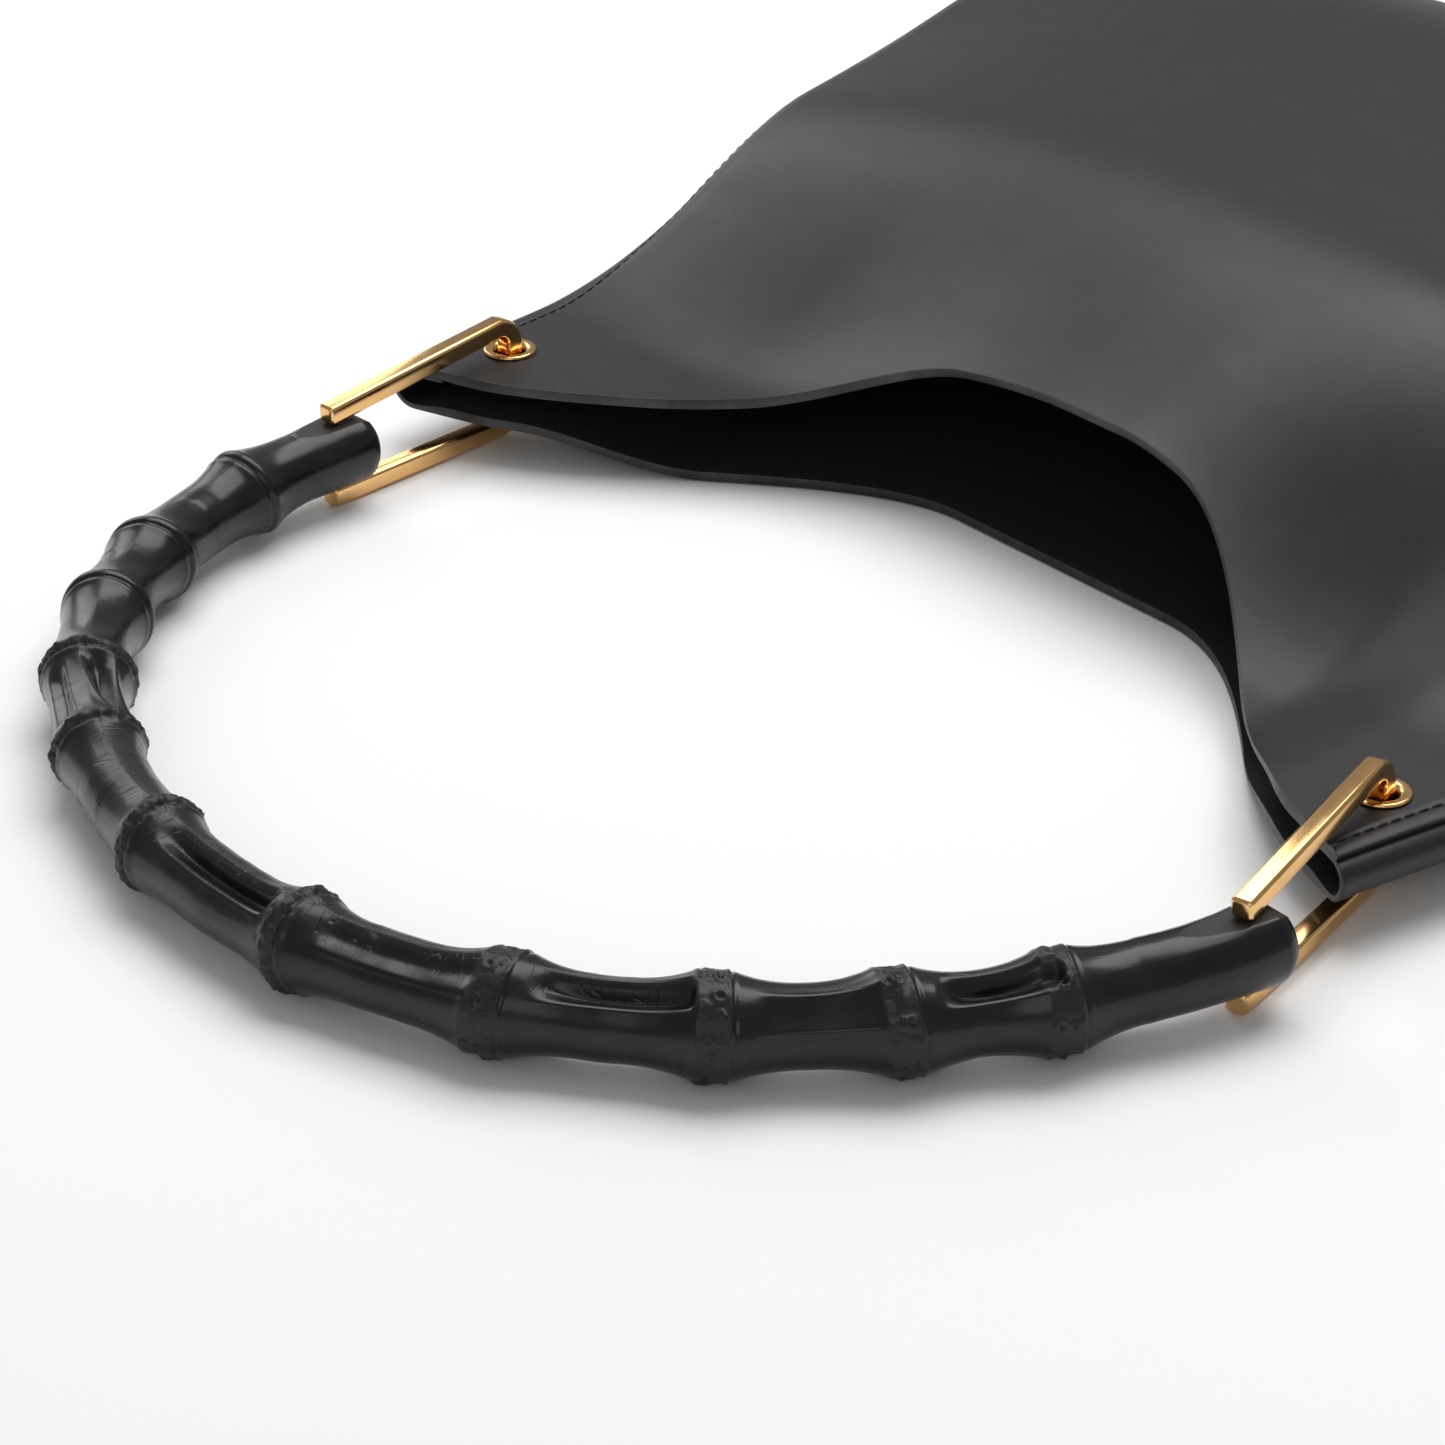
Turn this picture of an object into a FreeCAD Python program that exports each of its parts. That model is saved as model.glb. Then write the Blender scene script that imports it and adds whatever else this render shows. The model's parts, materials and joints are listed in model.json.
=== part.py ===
import FreeCAD, Part
import math
import os

# Shoulder bag of thick black leather with an arched bamboo handle, laid on its back.
# Local layout: origin on the table midway between the eyelets, +X from the left eyelet to the right
# one, +Y towards the bag's bottom, +Z up. Everything is shifted in Y at the end to centre the bag.

# ---- driving sizes, mm ----
LEATHER_T = 2.3          # thickness of both leather panels
EYELET_SPACING = 274.0
BAG_DEPTH = 315.0        # eyelet line to the outside of the bottom
TIP_Y = -24.0            # how far the mouth corners reach past the eyelet line
TIP_PAST_EYELET = 13.5   # mouth corner's side, out from the eyelet
FLARE_TOP = 0.09         # side slope at the mouth corners
FLARE_MAIN = 0.39        # side slope lower down
FLARE_RUN = 200.0        # length over which the slope grows from one to the other
BOTTOM_CORNER = 60.0     # length over which the bottom corners round off
BOTTOM_INSET = 42.0      # how far the bottom corners come in
BELLY_H = 66.0           # height of the filled bag at its fullest
BELLY_SIDE_H = 45.0      # its height where the side folds begin
BELLY_ROUND = 2.4        # 2 is an elliptic crown, more is flatter on top
BELLY_FROM_Y = 22.0      # the belly swells up from here
BELLY_RUN = 95.0
FOLD_R_MAX = 16.0        # roundness of the side folds, at most
BOTTOM_ROLL = 95.0       # length over which the belly comes down to the bottom seam
SEAM_H = 6.0             # both panels together at the bottom seam
MOUTH_TOP_H = 35.0       # the front at the mouth, before the belly lifts it, where it stands highest
MOUTH_TOP_X = 8.0        # and where that is
MOUTH_TOP_HALF_W = 8.0   # half width of that crest
MOUTH_RUN_LEFT = 97.0    # width over which each side of the crest comes down
MOUTH_RUN_RIGHT = 74.0
MOUTH_LOW_H = 10.0       # height of the front where the mouth closes, right of the crest
MOUTH_DIP_Y = 47.0       # depth of the mouth scoop past the eyelet line
MOUTH_DROP = 67.0        # from the scoop's bottom to the mouth corners, along Y
MOUTH_FLAT_HALF_W = 33.0 # half width of the scoop's flat middle
MOUTH_PAST_EYELET = 8.0  # the scoop's sides run up to here
CORNER_END_Y = -16.0     # where the scoop ends and the blunt corner begins
TAB_BOTTOM = 8.6         # the mouth corners float on the links, clear of the table
TAB_TOP = 19.8
TAB_INNER = 17.0         # level part of a corner, in from the eyelet
TAB_BLEND = 35.0         # width over which it comes down to the rest of the panel
TAB_TO_Y = 24.0          # level part of a corner, down from the eyelet
TAB_DROP = 50.0          # length over which it comes down to the table
SEAM_INSET = 3.0         # the front panel's cut edge, in from the outside of the side fold
SEAM_GAP = 0.1

FOLD_Y = 20.0            # the corners bend up along this line when the handle is lifted
FOLD_GAP = 4.0           # half of the leather left out there, so that the corners can turn

BAR = 4.6                # square bar of the links
BAR_CHAMFER = 0.9
BEND_INNER_R = 2.6       # inside of the link's bends
LINK_L = 53.5            # eyelet bar to handle pin
LINK_TIP = 4.0           # link past its pin
LINK_OPEN_H = 25.2       # arms apart at the eyelet, centre to centre
LINK_TIP_H = 20.4        # arms apart at the pin
LEAN_LEFT_DEG = 6.5      # each link leans this far towards +X as the bag lies
LEAN_RIGHT_DEG = 16.5

PIN_R = 1.5
PIN_SEAT = 2.0           # depth of the blind seat in each arm
PIN_RUNNING = 0.06       # radial clearance, left pin in the bamboo
PIN_OPEN = 0.70          # radial clearance, right pin, where the closed linkage is opened

EYELET_PLAY = 0.8        # the bar's corners clear of the eyelet's hole
EYELET_WALL = 0.5
FLANGE_W = 2.7           # flange, from the hole outwards
FLANGE_T = 0.9
SEAT_GAP = 0.05          # flange and washer, off the leather's two faces
WASHER_W = 1.6
WASHER_T = 0.6

NODE_R = 10.2            # bamboo rings, and the height of the handle's middle over the table
CULM_R = 8.1             # bamboo between the rings
END_R = 8.6              # bamboo at its two ends
END_TAPER = 22.0         # length over which the ends swell
END_PAST_PIN = 8.5
END_DOME = 2.5           # length of the rounded end
END_DOME_IN = 2.0        # how far it comes in
RING_HALF = 1.6          # half length of a ring's crest
RING_FADE = 6.5          # distance over which a ring fades into the culm
ARCH_CENTRE = 11.0       # the arch's centre, from the pin line towards the bag
ARCH_WOBBLE = 2.9        # natural unevenness of the arch, long and short
ARCH_RIPPLE = 1.6
ARCH_SETTLE_DEG = 12.0   # the ends are even over this much of the arc
END_RISE_DEG = 18.0      # arc over which the ends rise from the table to the links
NODE_DEG = [15.5, 29.9, 40.7, 52.3, 64.5, 81.1, 100.0, 118.3, 134.4, 148.3, 160.6]
SADDLE_R = 13.0          # carved seats for the link arms
SADDLE_REACH = 20.0      # and how far they go out from the pin
SADDLE_CLEAR = 0.55
SADDLE_TIP_CLEAR = 0.5   # round pocket in the seat, past the link's swinging tip

PATCH_HALF_W = 30.0      # leather patch inside the front's edge
PATCH_X = 18.0
PATCH_L = 40.0
PATCH_T = 1.2
PATCH_GLUE = 0.3         # glue line between the patch and the panel
PATCH_FROM_EDGE = 3.0

V = FreeCAD.Vector
EYELET_X = EYELET_SPACING / 2
TIP_HALF_W = EYELET_X + TIP_PAST_EYELET
MOUTH_RUN = EYELET_X + MOUTH_PAST_EYELET - MOUTH_FLAT_HALF_W
TAB_FROM_X = EYELET_X - TAB_INNER - TAB_BLEND
HOLE_R = math.hypot(BAR / 2, BAR / 2 - BAR_CHAMFER) + EYELET_PLAY
BARREL_R = HOLE_R + EYELET_WALL
FLANGE_R = HOLE_R + FLANGE_W
WASHER_R = BARREL_R + WASHER_W
LEANS = {"left": LEAN_LEFT_DEG, "right": LEAN_RIGHT_DEG}
EYELETS = {"left": -EYELET_X, "right": EYELET_X}


def pin_place(side):
    lean = math.radians(LEANS[side])
    return V(EYELETS[side] + LINK_L * math.sin(lean), -LINK_L * math.cos(lean), 0)


END_Z = BAR / 2 + LINK_TIP_H / 2


def smooth(x):
    x = min(1.0, max(0.0, x))
    return x * x * (3 - 2 * x)


# ---- leather: each piece is a sheet of even thickness over a smooth surface ----

def half_width(y):
    run = y - TIP_Y
    grow = FLARE_MAIN - FLARE_TOP
    near = min(run, FLARE_RUN)
    w = TIP_HALF_W + FLARE_TOP * run + grow * near * near / (2 * FLARE_RUN) + grow * max(0.0, run - FLARE_RUN)
    past = (y - (BAG_DEPTH - BOTTOM_CORNER)) / BOTTOM_CORNER
    if past > 0:
        w -= BOTTOM_INSET * (1 - math.sqrt(max(0.0, 1 - past * past)))
    return w


def under(x, y):
    return TAB_BOTTOM * smooth((abs(x) - TAB_FROM_X) / TAB_BLEND) * (1 - smooth((y - TAB_TO_Y) / TAB_DROP))


def over(x, y):
    ax = abs(x)
    low = TAB_TOP
    run = MOUTH_RUN_LEFT
    if x > MOUTH_TOP_X:
        low = MOUTH_LOW_H + (TAB_TOP - MOUTH_LOW_H) * smooth((x - TAB_FROM_X) / TAB_BLEND)
        run = MOUTH_RUN_RIGHT
    mouth = MOUTH_TOP_H + (low - MOUTH_TOP_H) * smooth((abs(x - MOUTH_TOP_X) - MOUTH_TOP_HALF_W) / run)
    belly = BELLY_SIDE_H + (BELLY_H - BELLY_SIDE_H) * (1 - min(1.0, ax / half_width(y)) ** BELLY_ROUND)
    s = smooth((y - BELLY_FROM_Y) / BELLY_RUN)
    z = mouth * (1 - s) + belly * s
    left = min(1.0, max(0.0, (BAG_DEPTH - y) / BOTTOM_ROLL))
    round_off = math.sqrt(1 - (1 - left) ** 2)
    return SEAM_H + (z - SEAM_H) * round_off


def fold_radius(y):
    w = half_width(y)
    return min((over(w, y) - under(w, y)) / 2, FOLD_R_MAX)


def fold_mid(y):
    x = half_width(y) - fold_radius(y)
    return (over(x, y) + under(x, y)) / 2


def front_point(x, y):
    r = fold_radius(y)
    past = max(0.0, (abs(x) - half_width(y) + r) / r)
    mid = fold_mid(y)
    return V(x, y, mid + (over(x, y) - mid) * math.sqrt(max(0.0, 1 - past * past)))


def fold_point(side, angle, y):
    r = fold_radius(y)
    x = half_width(y) - r + r * math.cos(angle)
    mid = fold_mid(y)
    edge = over(x, y) if angle > 0 else under(x, y)
    return V(side * x, y, mid + abs(edge - mid) * math.sin(angle))


def seam_angle(y):
    return math.acos(1 - SEAM_INSET / fold_radius(y))


def surface(rows):
    s = Part.BSplineSurface()
    s.interpolate(rows)
    return s


def heading(line, i):
    # direction of a line of points at one of them, true to the curve at its two ends as well
    if i == 0:
        return line[1] * 4 - line[0] * 3 - line[2]
    if i == len(line) - 1:
        return line[-1] * 3 - line[-2] * 4 + line[-3]
    return line[i + 1] - line[i - 1]


def sheet(rows, t, depth=0.0):
    # rows of points on the outside; the sheet lies from depth to depth + t under them
    columns = [list(column) for column in zip(*rows)]

    def pushed(d):
        out = []
        for i, row in enumerate(rows):
            line = []
            for j, p in enumerate(row):
                n = heading(columns[j], i).cross(heading(row, j))
                line.append(p - n * (d / n.Length))
            out.append(line)
        return surface(out)
    top, low = pushed(depth), pushed(depth + t)
    faces = [top.toShape(), low.toShape()]
    u0, u1, v0, v1 = top.bounds()
    p0, p1, q0, q1 = low.bounds()
    for a, b in ((top.uIso(u0), low.uIso(p0)), (top.uIso(u1), low.uIso(p1)),
                 (top.vIso(v0), low.vIso(q0)), (top.vIso(v1), low.vIso(q1))):
        faces.append(Part.makeRuledSurface(a.toShape(), b.toShape(), 1))
    shell = Part.makeShell(faces)
    shell.sewShape()
    solid = Part.Solid(Part.Shell(shell.Faces))
    if solid.Volume < 0:
        solid.reverse()
    return solid


def clean(shape):
    return max(shape.Solids, key=lambda s: s.Volume)


def mouth_y(x):
    return MOUTH_DIP_Y - MOUTH_DROP * smooth((abs(x) - MOUTH_FLAT_HALF_W) / MOUTH_RUN)


def mouth_x(y):
    lo, hi = MOUTH_FLAT_HALF_W, MOUTH_FLAT_HALF_W + MOUTH_RUN
    for _ in range(40):
        mid = (lo + hi) / 2
        if mouth_y(mid) > y:
            lo = mid
        else:
            hi = mid
    return (lo + hi) / 2


def steps(a, b, n):
    return [a + (b - a) * i / n for i in range(n + 1)]


def main_start(x):
    return max(FOLD_Y + FOLD_GAP, mouth_y(x))


def along(x_share, k, reach):
    start = main_start(x_share * half_width(FOLD_Y + FOLD_GAP))
    return start + (reach - start) * k


def ease(k):
    # closer rows near the mouth and near the bottom
    return k - 0.12 * math.sin(2 * math.pi * k)


def closer_at_edges(shares):
    return [math.sin(math.pi / 2 * s) for s in shares]


shares = closer_at_edges(steps(-1, 1, 36))
rows = []
for k in steps(0, 1, 22):
    row = []
    for s in shares:
        y = along(s, ease(k), BAG_DEPTH)
        row.append(front_point(s * (half_width(y) - SEAM_INSET), y))
    rows.append(row)
parts = {}
parts["front_panel"] = sheet(rows, -LEATHER_T)

rows = []
for k in steps(0, 1, 22):
    row = []
    y = along(1, ease(k), BAG_DEPTH)
    top = seam_angle(y) - SEAM_GAP / fold_radius(y)
    row += [fold_point(-1, a, y) for a in steps(top, -math.pi / 2, 8)]
    for s in steps(-1, 1, 30)[1:-1]:
        y_here = along(s * 0.95, ease(k), BAG_DEPTH)
        x = s * (half_width(y_here) - fold_radius(y_here))
        row.append(V(x, y_here, under(x, y_here)))
    row += [fold_point(1, a, y) for a in steps(-math.pi / 2, top, 8)]
    rows.append(row)
parts["back_panel"] = sheet(rows, LEATHER_T)


def corner_rows(side, wrap):
    rows = []
    for k in steps(0, 1, 12):
        y_in = FOLD_Y - FOLD_GAP + (CORNER_END_Y - FOLD_Y + FOLD_GAP) * k
        y_out = FOLD_Y - FOLD_GAP + (TIP_Y - FOLD_Y + FOLD_GAP) * k
        x_in = mouth_x(y_in)
        w = half_width(y_out)
        row = []
        if wrap:
            r = fold_radius(y_out)
            for s in steps(0, 1, 12)[:-1]:
                x = x_in + (w - r - x_in) * s
                y = y_in + (y_out - y_in) * s
                row.append(V(side * x, y, under(x, y)))
            top = seam_angle(y_out) - SEAM_GAP / r
            row += [fold_point(side, a, y_out) for a in steps(-math.pi / 2, top, 8)]
        else:
            for s in closer_at_edges(steps(0, 1, 14)):
                x = x_in + (w - SEAM_INSET - x_in) * s
                y = y_in + (y_out - y_in) * s
                p = front_point(x, y)
                row.append(V(side * p.x, p.y, p.z))
        rows.append(row)
    return rows


def box(x0, x1, y0, y1, z0, z1):
    return Part.makeBox(x1 - x0, y1 - y0, z1 - z0, V(x0, y0, z0))


# ---- eyelets: flange outside the leather, barrel through it, rolled washer inside ----

def tube(r_out, r_in, x, z0, z1):
    lo, hi = min(z0, z1), max(z0, z1)
    return Part.makeCylinder(r_out, hi - lo, V(x, 0, lo)).cut(Part.makeCylinder(r_in, hi - lo, V(x, 0, lo)))


for side, x in EYELETS.items():
    for name, face, inward in (("front", TAB_TOP, -1), ("back", TAB_BOTTOM, 1)):
        sign = math.copysign(1, x)
        leather = sheet(corner_rows(sign, name == "back"), -sign * inward * LEATHER_T)
        hole = Part.makeCylinder(BARREL_R, 60, V(x, 0, -10))
        parts[side + "_corner_" + name] = clean(leather.cut(hole))
        outside = face - inward * SEAT_GAP
        inside = face + inward * (LEATHER_T + SEAT_GAP)
        flange = tube(FLANGE_R, HOLE_R, x, outside, outside - inward * FLANGE_T)
        barrel = tube(BARREL_R, HOLE_R, x, outside, inside + inward * WASHER_T)
        parts[side + "_eyelet_" + name] = clean(flange.fuse(barrel))
        parts[side + "_washer_" + name] = tube(WASHER_R, BARREL_R, x, inside, inside + inward * WASHER_T)


# ---- links: a bar bent to a U, standing through the eyelets, arms pinned to the bamboo ----

def make_link(side):
    b = BAR / 2
    z_lo = b
    z_hi = b + LINK_OPEN_H
    tip = LINK_L + LINK_TIP
    slope = (LINK_OPEN_H - LINK_TIP_H) / LINK_L
    drop = slope * tip
    corners = [(-b, 0), (tip, 0), (tip, BAR), (b, BAR), (b, z_hi - b - slope * b),
               (tip, z_hi - b - drop), (tip, z_hi + b - drop), (-b, z_hi + b)]
    pts = [V(u, -b, z) for u, z in corners]
    solid = Part.Face(Part.makePolygon(pts + [pts[0]])).extrude(V(0, BAR, 0))

    def across(u, z):
        found = []
        for e in solid.Edges:
            a, c = e.Vertexes[0].Point, e.Vertexes[-1].Point
            if abs(a.x - u) + abs(c.x - u) + abs(a.z - z) + abs(c.z - z) < 0.01:
                found.append(e)
        return found
    solid = solid.makeFillet(BEND_INNER_R + BAR, across(-b, 0) + across(-b, z_hi + b))
    solid = solid.makeFillet(BEND_INNER_R, across(b, BAR) + across(b, z_hi - b - slope * b))
    solid = solid.makeChamfer(BAR_CHAMFER, [e for e in solid.Edges if long_edge(e)])
    pin_lo = BAR - PIN_SEAT
    pin_hi = z_hi - b - slope * LINK_L + PIN_SEAT
    pin = Part.makeCylinder(PIN_R, pin_hi - pin_lo, V(LINK_L, 0, pin_lo))
    solid = solid.cut(pin)
    turn = FreeCAD.Rotation(V(0, 0, 1), -90 + LEANS[side])
    place = FreeCAD.Placement(V(EYELETS[side], 0, 0), turn)
    for s in (solid, pin):
        s.Placement = place
    return clean(solid), pin


def long_edge(e):
    side = e.Vertexes[0].Point.y
    flat = all(abs(v.Point.y - side) < 1e-6 for v in e.Vertexes)
    return flat and abs(abs(side) - BAR / 2) < 1e-6


for side in EYELETS:
    parts[side + "_link"], parts[side + "_pin"] = make_link(side)


# ---- bamboo handle: one root cane heat-bent to an arch, with swollen rings ----

CHORD = pin_place("right") - pin_place("left")
ACROSS = V(CHORD.x, CHORD.y, 0) / CHORD.Length
INWARD = V(-ACROSS.y, ACROSS.x, 0)
ARCH_MID = (pin_place("right") + pin_place("left")) / 2 + INWARD * ARCH_CENTRE
ARCH_R = math.hypot(CHORD.Length / 2, ARCH_CENTRE)
PIN_DEG = math.degrees(math.atan2(ARCH_CENTRE, CHORD.Length / 2))
MM_PER_DEG = ARCH_R * math.pi / 180
START_DEG = PIN_DEG - END_PAST_PIN / MM_PER_DEG
STOP_DEG = 180 - START_DEG


def arch(deg):
    a = math.radians(deg)
    near = min(deg, 180 - deg) - PIN_DEG
    uneven = ARCH_WOBBLE * math.sin(2 * a) + ARCH_RIPPLE * math.sin(4 * a)
    r = ARCH_R + uneven * smooth(near / ARCH_SETTLE_DEG)
    z = NODE_R + (END_Z - NODE_R) * (1 - smooth(near / END_RISE_DEG))
    flat = ARCH_MID - ACROSS * (r * math.cos(a)) - INWARD * (r * math.sin(a))
    return V(flat.x, flat.y, z)


def ring(deg, r):
    d = 0.2
    along = arch(deg + d) - arch(deg - d)
    return Part.Wire([Part.makeCircle(r, arch(deg), along)])


def cane_radius(deg):
    near_end = min(deg - START_DEG, STOP_DEG - deg) * MM_PER_DEG
    base = CULM_R + (END_R - CULM_R) * (1 - smooth(near_end / END_TAPER))
    for n in NODE_DEG:
        d = abs(deg - n) * MM_PER_DEG
        if d <= RING_HALF + RING_FADE:
            f = smooth((d - RING_HALF) / RING_FADE)
            base = max(base, NODE_R * (1 - f) + CULM_R * f)
    return base


settled = END_TAPER / 2 / MM_PER_DEG
marks = {START_DEG + END_DOME / MM_PER_DEG, STOP_DEG - END_DOME / MM_PER_DEG}
marks |= {START_DEG + settled, STOP_DEG - settled}
for n in NODE_DEG:
    for off in (-RING_HALF - RING_FADE, -RING_HALF - RING_FADE * 0.5, -RING_HALF, RING_HALF,
                RING_HALF + RING_FADE * 0.5, RING_HALF + RING_FADE):
        marks.add(n + off / MM_PER_DEG)
for a, b in zip(NODE_DEG, NODE_DEG[1:]):
    marks.add((a + b) / 2)
rings = [ring(START_DEG, END_R - END_DOME_IN)]
rings += [ring(d, cane_radius(d)) for d in sorted(marks)]
rings += [ring(STOP_DEG, END_R - END_DOME_IN)]
cane = Part.makeLoft(rings, True, True)

half_gap = LINK_TIP_H / 2 - BAR / 2 - SADDLE_CLEAR
for side, clear in (("left", PIN_RUNNING), ("right", PIN_OPEN)):
    x, y, _ = pin_place(side)
    for sign in (-1, 1):
        z = END_Z + sign * (half_gap + SADDLE_R)
        scoop = Part.makeCylinder(SADDLE_R, 2 * SADDLE_REACH, V(x - SADDLE_REACH, y, z), V(1, 0, 0))
        cane = cane.cut(scoop)
        end_flat = sorted((END_Z + sign * half_gap, END_Z + sign * (half_gap + 2 * NODE_R)))
        cane = cane.cut(box(x - SADDLE_REACH, x + SADDLE_REACH, y - PIN_R, y + SADDLE_REACH, *end_flat))
        pocket_r = math.hypot(LINK_TIP, BAR / 2) + SADDLE_TIP_CLEAR
        cane = cane.cut(Part.makeCylinder(pocket_r, end_flat[1] - end_flat[0], V(x, y, end_flat[0])))
    cane = cane.cut(Part.makeCylinder(PIN_R + clear, 60, V(x, y, -10)))
parts["bamboo_handle"] = clean(cane)


# ---- leather patch glued inside the front panel, just under the mouth's edge ----

patch_from = MOUTH_DIP_Y + PATCH_FROM_EDGE
rows = []
for y in steps(patch_from, patch_from + PATCH_L, 6):
    rows.append([front_point(PATCH_X + x, y) for x in steps(-PATCH_HALF_W, PATCH_HALF_W, 10)])
parts["mouth_patch"] = sheet(rows, -PATCH_T, -LEATHER_T - PATCH_GLUE)

# ---- centre the bag on the row's origin and write one file per piece ----

whole = Part.makeCompound(list(parts.values())).optimalBoundingBox()
shift = V(0, -(whole.YMin + whole.YMax) / 2, -whole.ZMin)
os.makedirs("parts", exist_ok=True)
for name, shape in parts.items():
    moved = shape.copy()
    moved.translate(shift)
    assert moved.isValid() and moved.isClosed() and len(moved.Solids) == 1, name
    moved.exportStep("parts/" + name + ".step")

print("shift", shift, "box", whole)
print("pins", pin_place("left"), pin_place("right"), "arch", ARCH_MID, ARCH_R)
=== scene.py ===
import json
import math

import bmesh
import bpy
import numpy as np
from mathutils import Matrix, Vector, noise


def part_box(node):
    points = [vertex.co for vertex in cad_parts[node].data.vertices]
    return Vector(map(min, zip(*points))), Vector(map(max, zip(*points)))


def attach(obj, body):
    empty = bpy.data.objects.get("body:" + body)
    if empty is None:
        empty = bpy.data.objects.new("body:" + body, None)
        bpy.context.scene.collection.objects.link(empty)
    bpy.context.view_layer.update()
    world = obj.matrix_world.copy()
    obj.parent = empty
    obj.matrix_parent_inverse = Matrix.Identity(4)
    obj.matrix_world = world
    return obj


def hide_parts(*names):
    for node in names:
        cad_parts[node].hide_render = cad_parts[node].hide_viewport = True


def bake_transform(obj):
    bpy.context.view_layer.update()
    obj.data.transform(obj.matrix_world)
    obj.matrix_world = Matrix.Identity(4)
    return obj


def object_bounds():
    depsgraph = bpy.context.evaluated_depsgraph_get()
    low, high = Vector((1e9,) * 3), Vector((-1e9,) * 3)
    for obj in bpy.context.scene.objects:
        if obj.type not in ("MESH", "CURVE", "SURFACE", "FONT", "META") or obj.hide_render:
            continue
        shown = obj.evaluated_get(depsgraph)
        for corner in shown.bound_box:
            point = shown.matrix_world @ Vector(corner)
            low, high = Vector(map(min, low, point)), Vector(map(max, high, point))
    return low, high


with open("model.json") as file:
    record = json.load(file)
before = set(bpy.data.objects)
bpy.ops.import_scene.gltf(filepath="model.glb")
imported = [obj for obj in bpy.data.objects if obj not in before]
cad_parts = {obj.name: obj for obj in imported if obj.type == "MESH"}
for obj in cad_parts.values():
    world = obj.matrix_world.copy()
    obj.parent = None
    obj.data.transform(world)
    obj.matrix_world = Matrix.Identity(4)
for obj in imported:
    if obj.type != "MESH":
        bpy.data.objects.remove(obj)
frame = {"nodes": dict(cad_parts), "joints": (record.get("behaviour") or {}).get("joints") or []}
cad_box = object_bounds()


# ---- front leather ----
# The front of the bag is one piece of thick smooth calf, scooped at the top for the mouth and swelling
# over the belly. Its inside is raw and matt, its cut edges are painted, and each corner has an eyelet.
hinges = {joint["name"]: Vector(joint["pos_m"]) for joint in frame["joints"]}
EYELET_X = hinges["right_link_sway"].x
EYELET_Y = hinges["right_link_sway"].y
TABLE_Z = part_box("left_link")[0].z
BAG_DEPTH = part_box("front_panel")[1].y - EYELET_Y
TIP_Y = -0.024
TIP_HALF_W = EYELET_X + 0.0135
FLARE_TOP = 0.09
FLARE_MAIN = 0.39
FLARE_RUN = 0.200
BOTTOM_CORNER = 0.060
BOTTOM_INSET = 0.042
BELLY_H = 0.066
BELLY_SIDE_H = 0.045
BELLY_ROUND = 2.4
BELLY_FROM_Y = 0.022
BELLY_RUN = 0.095
BOTTOM_ROLL = 0.095
SEAM_H = 0.006
FOLD_R_MAX = 0.016
MOUTH_TOP_H = 0.0350
MOUTH_TOP_X = 0.008
MOUTH_TOP_HALF_W = 0.008
MOUTH_RUN_LEFT = 0.097
MOUTH_RUN_RIGHT = 0.074
MOUTH_LOW_H = 0.010
MOUTH_DIP_Y = 0.047
MOUTH_DROP = 0.067
MOUTH_FLAT_HALF_W = 0.033
MOUTH_RUN = EYELET_X + 0.008 - MOUTH_FLAT_HALF_W
CORNER_START_X = 0.1284
CORNER_START_Y = -0.016
TAB_BOTTOM = 0.0086
TAB_TOP = 0.0198
TAB_BLEND = 0.035
TAB_FROM_X = EYELET_X - 0.017 - TAB_BLEND
TAB_TO_Y = 0.024
TAB_DROP = 0.050
LEATHER_T = 0.0023
LAP_T = 0.0016
LAP_THIN_FROM = 0.014
LAP_INSET = 0.0030
EYELET_CUT_R = 0.0041
PANEL_EASE = 0.00035


def at(x, y, z):
    """A place on the bag, measured from the table midway between the eyelets."""
    return Vector((x, y + EYELET_Y, z + TABLE_Z))


def smooth(x):
    x = min(1.0, max(0.0, x))
    return x * x * (3 - 2 * x)


def half_width(y):
    run = y - TIP_Y
    grow = FLARE_MAIN - FLARE_TOP
    near = min(run, FLARE_RUN)
    w = TIP_HALF_W + FLARE_TOP * run + grow * near * near / (2 * FLARE_RUN) + grow * max(0.0, run - FLARE_RUN)
    past = (y - (BAG_DEPTH - BOTTOM_CORNER)) / BOTTOM_CORNER
    if past > 0:
        w -= BOTTOM_INSET * (1 - math.sqrt(max(0.0, 1 - past * past)))
    return w


def under(x, y):
    return TAB_BOTTOM * smooth((abs(x) - TAB_FROM_X) / TAB_BLEND) * (1 - smooth((y - TAB_TO_Y) / TAB_DROP))


def over(x, y, w):
    low = TAB_TOP
    run = MOUTH_RUN_LEFT
    if x > MOUTH_TOP_X:
        low = MOUTH_LOW_H + (TAB_TOP - MOUTH_LOW_H) * smooth((x - TAB_FROM_X) / TAB_BLEND)
        run = MOUTH_RUN_RIGHT
    mouth = MOUTH_TOP_H + (low - MOUTH_TOP_H) * smooth((abs(x - MOUTH_TOP_X) - MOUTH_TOP_HALF_W) / run)
    belly = BELLY_SIDE_H + (BELLY_H - BELLY_SIDE_H) * (1 - min(1.0, abs(x) / w) ** BELLY_ROUND)
    s = smooth((y - BELLY_FROM_Y) / BELLY_RUN)
    z = mouth * (1 - s) + belly * s
    left = min(1.0, max(0.0, (BAG_DEPTH - y) / BOTTOM_ROLL))
    return SEAM_H + (z - SEAM_H) * math.sqrt(1 - (1 - left) ** 2)


def side_fold(y):
    """Half width, roundness and middle height of the side fold."""
    w = half_width(y)
    r = min((over(w, y, w) - under(w, y)) / 2, FOLD_R_MAX)
    x = w - r
    return w, r, (over(x, y, w) + under(x, y)) / 2


def front_height(x, y, fold):
    w, r, mid = fold
    past = max(0.0, (abs(x) - w + r) / r)
    return mid + (over(x, y, w) - mid) * math.sqrt(max(0.0, 1 - past * past))


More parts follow.
